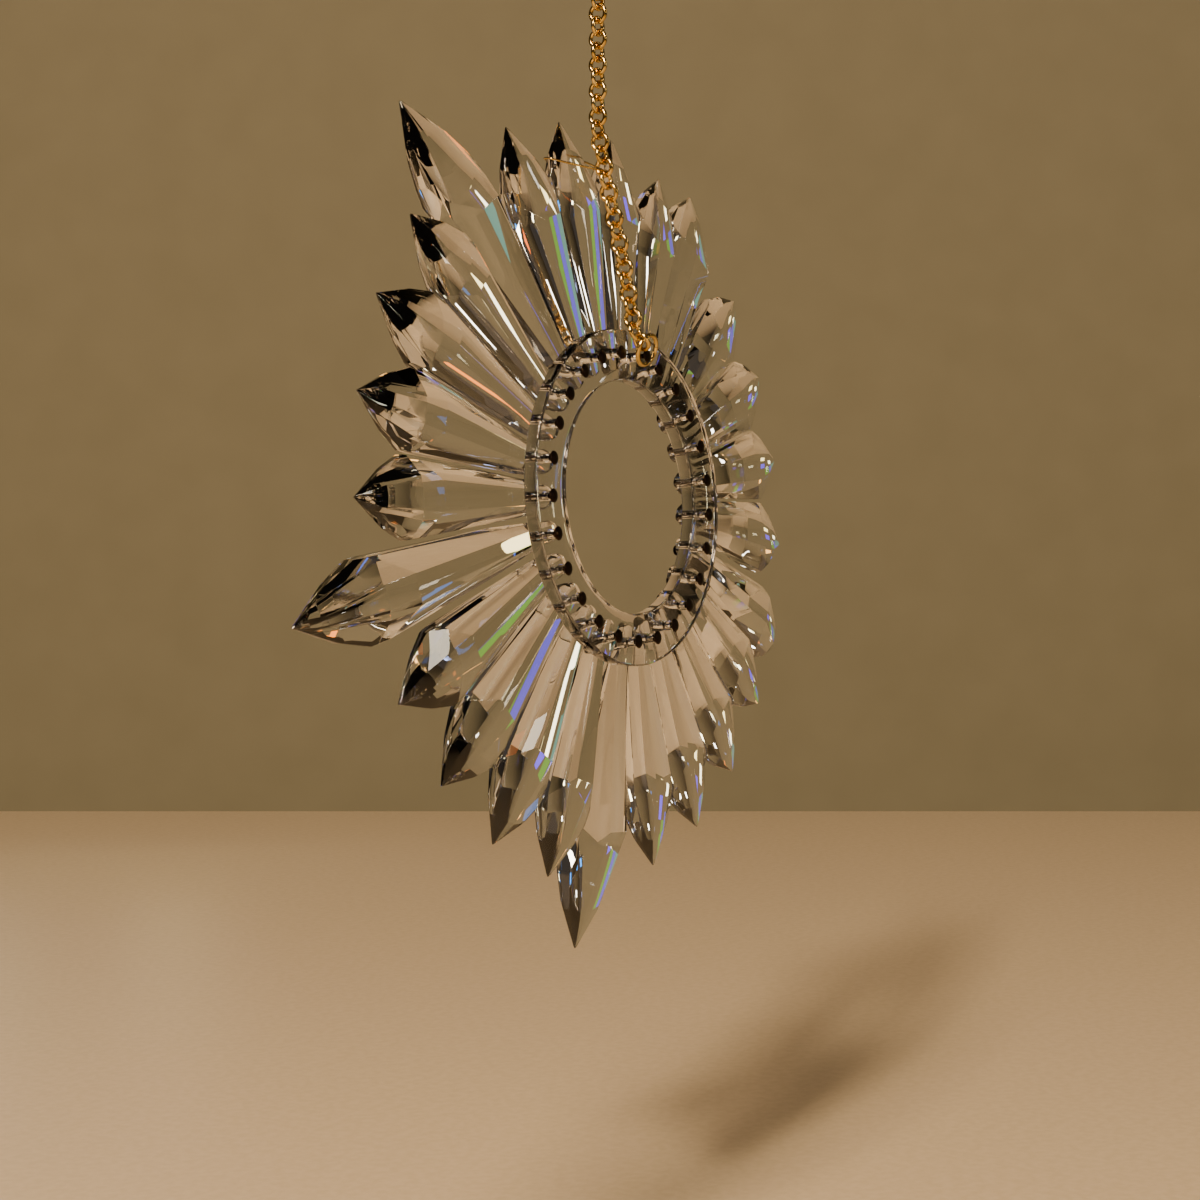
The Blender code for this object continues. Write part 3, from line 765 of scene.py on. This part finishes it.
def add_staging(name, corners, finish):
    """A flat sheet of the studio, through its corners in turn."""
    bm = bmesh.new()
    bm.faces.new([bm.verts.new(corner) for corner in corners])
    mesh = bpy.data.meshes.new(name)
    bm.to_mesh(mesh)
    bm.free()
    mesh.materials.append(finish)
    item = bpy.data.objects.new(name, mesh)
    bpy.context.scene.collection.objects.link(item)


def add_soft_light(name, right, back, up, width, height, power, colour):
    """A soft light aimed at the sunburst's middle. It stays out of the picture, but the glass and metal show it."""
    light = bpy.data.lights.new(name, "AREA")
    light.shape = "RECTANGLE"
    light.size = width
    light.size_y = height
    light.energy = power
    light.color = from_hex(colour)[:3]
    item = bpy.data.objects.new(name, light)
    bpy.context.scene.collection.objects.link(item)
    item.location = from_middle(right, back, up)
    item.rotation_euler = (MIDDLE - item.location).to_track_quat("-Z", "Y").to_euler()
    item.visible_camera = False


# Small tinted lamps for the crystal's fire: each one's place in metres right, back and up from the middle, its
# width and height, its brightness and its colour
FIRE_LAMPS = [
    ("blue_white_lamp", (0.707, 0.015, 0.510), 0.05, 0.05, 3.0, "b4c6ff"),
    ("orange_lamp", (0.695, -0.472, 0.307), 0.06, 0.06, 3.0, "ff6a08"),
    ("cyan_lamp", (0.869, -0.046, 0.158), 0.08, 0.08, 3.2, "0098ff"),
    ("cream_lamp", (0.913, 0.101, 0.085), 0.06, 0.06, 10.0, "fff0c0"),
    ("white_lamp", (0.650, 0.319, 0.471), 0.06, 0.06, 9.0, "fff6e6"),
    ("violet_lamp", (-0.629, -0.123, 0.674), 0.08, 0.08, 1.0, "2408ff"),
    ("sky_lamp", (-0.223, 0.500, 0.560), 0.07, 0.07, 2.6, "0a70ff"),
    ("amber_lamp", (0.093, 0.520, 0.282), 0.04, 0.05, 3.0, "ff8010"),
    ("sunset_lamp", (-0.144, 0.520, 0.195), 0.05, 0.03, 4.0, "ffb860"),
    ("blue_lamp", (0.117, -0.896, 0.203), 0.06, 0.07, 1.4, "0830ff"),
    ("turquoise_lamp", (-0.226, 0.520, 0.250), 0.05, 0.05, 0.6, "0088e8"),
    ("green_lamp", (-0.218, 0.520, 0.065), 0.034, 0.10, 0.6, "38c800"),
    ("deep_blue_lamp", (-0.262, 0.520, 0.060), 0.040, 0.11, 0.8, "0620ff"),
    ("teal_lamp", (-0.320, 0.520, 0.040), 0.060, 0.11, 0.7, "00b0a8"),
    ("lilac_lamp", (-0.176, 0.520, -0.002), 0.03, 0.03, 1.6, "4a20ff"),
    ("candle_lamp", (-0.171, 0.520, -0.052), 0.03, 0.025, 4.0, "ffe6a0"),
    ("moon_lamp", (-0.243, 0.520, -0.029), 0.03, 0.03, 5.0, "fff2c8"),
]


def make_studio():
    floor = -FLOOR_DEPTH
    add_staging("floor", [from_middle(*at) for at in (
        (-3, -3, floor), (3, -3, floor), (3, WALL_DISTANCE, floor), (-3, WALL_DISTANCE, floor))], pale_stone())
    add_staging("backdrop", [from_middle(*at) for at in (
        (-3, WALL_DISTANCE, floor), (3, WALL_DISTANCE, floor), (3, WALL_DISTANCE, 2.5), (-3, WALL_DISTANCE, 2.5))],
        painted_wall())
    world = bpy.data.worlds.new("room")
    bpy.context.scene.world = world
    world.use_nodes = True
    world.node_tree.nodes["Background"].inputs["Color"].default_value = from_hex("8a7d70")
    world.node_tree.nodes["Background"].inputs["Strength"].default_value = 0.2
    add_soft_light("key_light", -0.35, -1.24, 0.74, 0.12, 0.12, 24.0, "ffe2bc")
    add_soft_light("floor_light", -0.16, -0.55, 0.55, 0.18, 0.18, 8.0, "ffdfb8")
    add_soft_light("window_light", 1.2, -0.6, 0.42, 0.12, 0.3, 1.6, "fff2d8")
    for name, place, width, height, brightness, colour in FIRE_LAMPS:
        add_soft_light(name, *place, width, height, pi * width * height * brightness, colour)


make_sunburst()
make_hanging()
make_studio()
add_camera()
